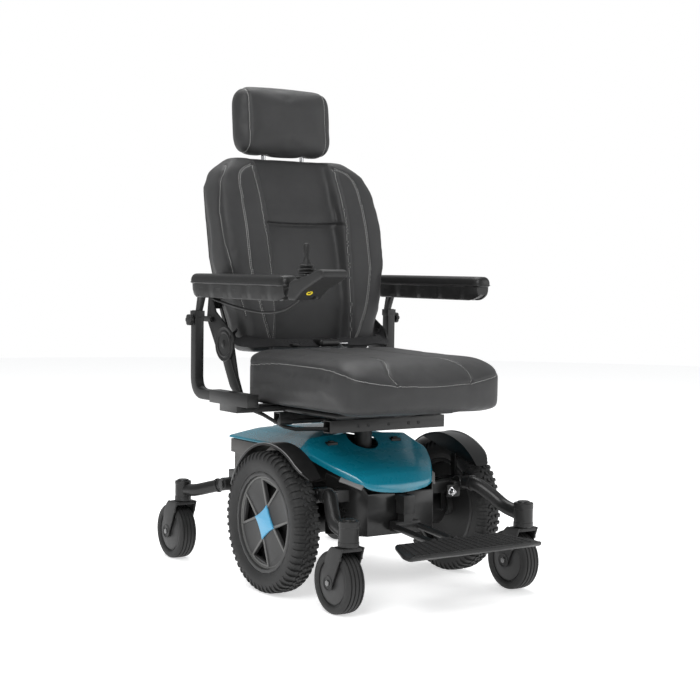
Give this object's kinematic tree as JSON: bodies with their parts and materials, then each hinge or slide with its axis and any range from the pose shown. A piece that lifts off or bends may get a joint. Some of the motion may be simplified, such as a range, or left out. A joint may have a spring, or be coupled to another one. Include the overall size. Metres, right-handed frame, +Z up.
{
  "type": "power wheelchair",
  "caption": "Mid-wheel-drive power wheelchair with a swivelling captain's seat, headrest, flip-up armrests and footplate, joystick controller, lap belt, and sprung front and rear casters.",
  "frame": {"origin": "on the floor, under the middle of the chair's bounding box; the drive axle is 55 mm in front of it", "axes": "+Z up; the chair faces -Y; the sitter's right, with the joystick, is -X"},
  "size_m": [0.6536, 1.0314, 1.2519],
  "materials": {
    "black_frame": "satin black powder coat",
    "black_plastic": "fine-grained black moulding",
    "grey_plastic": "mid grey moulding, matt",
    "blue_cover": "glossy blue-green cover",
    "wheel_plastic": "silver-grey wheel cover",
    "grey_tyre": "non-marking grey rubber, matt",
    "bright_steel": "plated steel, lightly brushed",
    "upholstery": "charcoal grey vinyl-coated upholstery over foam, light grey stitching",
    "webbing": "black woven webbing",
    "black_rubber": "matt black rubber",
    "red_plastic": "red moulding"
  },
  "bodies": {
    "base": {"chassis_frame": "black_frame", "battery_tray": "grey_plastic", "battery_pack": "black_plastic", "control_module": "black_plastic", "rear_shroud": "blue_cover", "front_shroud": "blue_cover", "front_lower_shell": "black_plastic", "fender_right": "black_plastic", "fender_left": "black_plastic", "gear_motor_right": "black_frame", "gear_motor_left": "black_frame"},
    "drive_wheel_right": {"drive_tyre_right": "grey_tyre", "drive_rim_right": "wheel_plastic"},
    "drive_wheel_left": {"drive_tyre_left": "grey_tyre", "drive_rim_left": "wheel_plastic"},
    "freewheel_lever_right": {"freewheel_lever_right": "bright_steel"},
    "freewheel_lever_left": {"freewheel_lever_left": "bright_steel"},
    "front_arm_right": {"front_arm_right": "black_frame"},
    "front_arm_left": {"front_arm_left": "black_frame"},
    "rear_arm_right": {"rear_arm_right": "black_frame"},
    "rear_arm_left": {"rear_arm_left": "black_frame"},
    "front_fork_right": {"front_fork_right": "black_frame"},
    "front_fork_left": {"front_fork_left": "black_frame"},
    "rear_fork_right": {"rear_fork_right": "black_frame"},
    "rear_fork_left": {"rear_fork_left": "black_frame"},
    "front_caster_right": {"front_caster_wheel_right": "grey_tyre"},
    "front_caster_left": {"front_caster_wheel_left": "grey_tyre"},
    "rear_caster_right": {"rear_caster_wheel_right": "grey_tyre"},
    "rear_caster_left": {"rear_caster_wheel_left": "grey_tyre"},
    "footplate_hanger": {"footplate_hanger": "black_frame"},
    "footplate": {"footplate": "black_plastic"},
    "seat_post": {"seat_post": "bright_steel"},
    "seat": {"seat_frame": "black_frame", "seat_cushion": "upholstery", "lap_belt_right": "webbing", "lap_belt_left": "webbing", "belt_buckle": "black_plastic"},
    "buckle_button": {"buckle_button": "red_plastic"},
    "swivel_lever": {"swivel_lever": "black_frame"},
    "back": {"back_frame": "black_plastic", "back_cushion": "upholstery"},
    "recline_lever": {"recline_lever": "black_plastic"},
    "headrest": {"headrest_posts": "bright_steel", "headrest": "upholstery"},
    "arm_tube_right": {"arm_tube_right": "black_frame"},
    "arm_tube_left": {"arm_tube_left": "black_frame"},
    "arm_knob_right": {"arm_knob_right": "black_plastic"},
    "arm_knob_left": {"arm_knob_left": "black_plastic"},
    "arm_post_right": {"arm_post_right": "black_frame"},
    "arm_post_left": {"arm_post_left": "black_frame"},
    "arm_pad_right": {"arm_pad_right": "black_plastic", "controller_body": "black_plastic", "controller_cable": "black_rubber"},
    "arm_pad_left": {"arm_pad_left": "black_plastic"},
    "joystick_gimbal": {"joystick_gimbal": "bright_steel"},
    "joystick": {"joystick": "black_rubber"},
    "speed_dial": {"speed_dial": "black_plastic"},
    "power_button": {"power_button": "black_rubber"},
    "horn_button": {"horn_button": "black_rubber"}
  },
  "joints": [
    {"name": "drive_wheel_right_spin", "type": "hinge", "parent": "base", "child": "drive_wheel_right", "pos_m": [-0.27, -0.05525, 0.17], "axis": [1, 0, 0], "continuous": true},
    {"name": "drive_wheel_left_spin", "type": "hinge", "parent": "base", "child": "drive_wheel_left", "pos_m": [0.27, -0.05525, 0.17], "axis": [1, 0, 0], "continuous": true},
    {"name": "freewheel_lever_right_turn", "type": "hinge", "parent": "base", "child": "freewheel_lever_right", "pos_m": [-0.205, -0.10575, 0.17], "axis": [0, 1, 0], "range_deg": [0, 40]},
    {"name": "freewheel_lever_left_turn", "type": "hinge", "parent": "base", "child": "freewheel_lever_left", "pos_m": [0.205, -0.10575, 0.17], "axis": [0, -1, 0], "range_deg": [0, 40]},
    {"name": "front_arm_right_swing", "type": "hinge", "parent": "base", "child": "front_arm_right", "pos_m": [-0.21, -0.17325, 0.245], "axis": [1, 0, 0], "range_deg": [-4, 4], "stiffness_Nm_per_rad": 2000},
    {"name": "front_arm_left_swing", "type": "hinge", "parent": "base", "child": "front_arm_left", "pos_m": [0.21, -0.17325, 0.245], "axis": [1, 0, 0], "range_deg": [-4, 4], "stiffness_Nm_per_rad": 2000},
    {"name": "rear_arm_right_swing", "type": "hinge", "parent": "base", "child": "rear_arm_right", "pos_m": [-0.21, 0.26275, 0.216], "axis": [1, 0, 0], "range_deg": [-4, 4], "stiffness_Nm_per_rad": 2000},
    {"name": "rear_arm_left_swing", "type": "hinge", "parent": "base", "child": "rear_arm_left", "pos_m": [0.21, 0.26275, 0.216], "axis": [1, 0, 0], "range_deg": [-4, 4], "stiffness_Nm_per_rad": 2000},
    {"name": "front_fork_right_swivel", "type": "hinge", "parent": "front_arm_right", "child": "front_fork_right", "pos_m": [-0.2555, -0.35725, 0.18], "axis": [0, 0, 1], "continuous": true},
    {"name": "front_fork_left_swivel", "type": "hinge", "parent": "front_arm_left", "child": "front_fork_left", "pos_m": [0.2555, -0.35725, 0.18], "axis": [0, 0, 1], "continuous": true},
    {"name": "rear_fork_right_swivel", "type": "hinge", "parent": "rear_arm_right", "child": "rear_fork_right", "pos_m": [-0.262, 0.40875, 0.18], "axis": [0, 0, 1], "continuous": true},
    {"name": "rear_fork_left_swivel", "type": "hinge", "parent": "rear_arm_left", "child": "rear_fork_left", "pos_m": [0.262, 0.40875, 0.18], "axis": [0, 0, 1], "continuous": true},
    {"name": "front_caster_right_spin", "type": "hinge", "parent": "front_fork_right", "child": "front_caster_right", "pos_m": [-0.2555, -0.32225, 0.0725], "axis": [1, 0, 0], "continuous": true},
    {"name": "front_caster_left_spin", "type": "hinge", "parent": "front_fork_left", "child": "front_caster_left", "pos_m": [0.2555, -0.32225, 0.0725], "axis": [1, 0, 0], "continuous": true},
    {"name": "rear_caster_right_spin", "type": "hinge", "parent": "rear_fork_right", "child": "rear_caster_right", "pos_m": [-0.262, 0.44375, 0.0725], "axis": [1, 0, 0], "continuous": true},
    {"name": "rear_caster_left_spin", "type": "hinge", "parent": "rear_fork_left", "child": "rear_caster_left", "pos_m": [0.262, 0.44375, 0.0725], "axis": [1, 0, 0], "continuous": true},
    {"name": "footplate_height", "type": "slide", "parent": "base", "child": "footplate_hanger", "axis": [0, 0, 1], "range_m": [-0.02, 0.015]},
    {"name": "footplate_flip", "type": "hinge", "parent": "footplate_hanger", "child": "footplate", "pos_m": [0, -0.37325, 0.147], "axis": [-1, 0, 0], "range_deg": [0, 90]},
    {"name": "seat_height", "type": "slide", "parent": "base", "child": "seat_post", "axis": [0, 0, 1], "range_m": [0, 0.05]},
    {"name": "seat_swivel", "type": "hinge", "parent": "seat_post", "child": "seat", "pos_m": [0, -0.04325, 0.4], "axis": [0, 0, 1], "range_deg": [-90, 90]},
    {"name": "buckle_button_press", "type": "slide", "parent": "seat", "child": "buckle_button", "axis": [0, 0, -1], "range_m": [0, 0.003], "stiffness_N_per_m": 300},
    {"name": "swivel_lever_lift", "type": "hinge", "parent": "seat", "child": "swivel_lever", "pos_m": [-0.102, -0.02125, 0.404], "axis": [0, 1, 0], "range_deg": [0, 6], "stiffness_Nm_per_rad": 5},
    {"name": "back_recline", "type": "hinge", "parent": "seat", "child": "back", "pos_m": [0, 0.23375, 0.579], "axis": [1, 0, 0], "range_deg": [-25, 30]},
    {"name": "recline_lever_lift", "type": "hinge", "parent": "back", "child": "recline_lever", "pos_m": [-0.245, 0.29675, 0.64], "axis": [1, 0, 0], "range_deg": [0, 20], "stiffness_Nm_per_rad": 2},
    {"name": "headrest_height", "type": "slide", "parent": "back", "child": "headrest", "axis": [0, 0.1045, 0.9945], "range_m": [0, 0.06]},
    {"name": "arm_tube_right_slide", "type": "slide", "parent": "seat", "child": "arm_tube_right", "axis": [0, 1, 0], "range_m": [-0.01, 0.05]},
    {"name": "arm_tube_left_slide", "type": "slide", "parent": "seat", "child": "arm_tube_left", "axis": [0, 1, 0], "range_m": [-0.01, 0.05]},
    {"name": "arm_knob_right_turn", "type": "hinge", "parent": "arm_tube_right", "child": "arm_knob_right", "pos_m": [-0.32, 0.26775, 0.64], "axis": [1, 0, 0], "continuous": true},
    {"name": "arm_knob_left_turn", "type": "hinge", "parent": "arm_tube_left", "child": "arm_knob_left", "pos_m": [0.32, 0.26775, 0.64], "axis": [1, 0, 0], "continuous": true},
    {"name": "armrest_right_height", "type": "slide", "parent": "arm_tube_right", "child": "arm_post_right", "axis": [0, 0, 1], "range_m": [0, 0.06]},
    {"name": "armrest_left_height", "type": "slide", "parent": "arm_tube_left", "child": "arm_post_left", "axis": [0, 0, 1], "range_m": [0, 0.06]},
    {"name": "armrest_right_flip", "type": "hinge", "parent": "arm_post_right", "child": "arm_pad_right", "pos_m": [-0.299, 0.25375, 0.705], "axis": [-1, 0, 0], "range_deg": [0, 90]},
    {"name": "armrest_left_flip", "type": "hinge", "parent": "arm_post_left", "child": "arm_pad_left", "pos_m": [0.299, 0.25375, 0.705], "axis": [-1, 0, 0], "range_deg": [0, 90]},
    {"name": "joystick_forward_back", "type": "hinge", "parent": "arm_pad_right", "child": "joystick_gimbal", "pos_m": [-0.2905, -0.22725, 0.742], "axis": [1, 0, 0], "range_deg": [-15, 15], "stiffness_Nm_per_rad": 0.3},
    {"name": "joystick_left_right", "type": "hinge", "parent": "joystick_gimbal", "child": "joystick", "pos_m": [-0.2905, -0.22725, 0.742], "axis": [0, 1, 0], "range_deg": [-15, 15], "stiffness_Nm_per_rad": 0.3},
    {"name": "speed_dial_turn", "type": "hinge", "parent": "arm_pad_right", "child": "speed_dial", "pos_m": [-0.278, -0.27725, 0.76], "axis": [0, 0, 1], "range_deg": [-135, 135]},
    {"name": "power_button_press", "type": "slide", "parent": "arm_pad_right", "child": "power_button", "axis": [0, 0, -1], "range_m": [0, 0.002], "stiffness_N_per_m": 300},
    {"name": "horn_button_press", "type": "slide", "parent": "arm_pad_right", "child": "horn_button", "axis": [0, 0, -1], "range_m": [0, 0.002], "stiffness_N_per_m": 300}
  ]
}
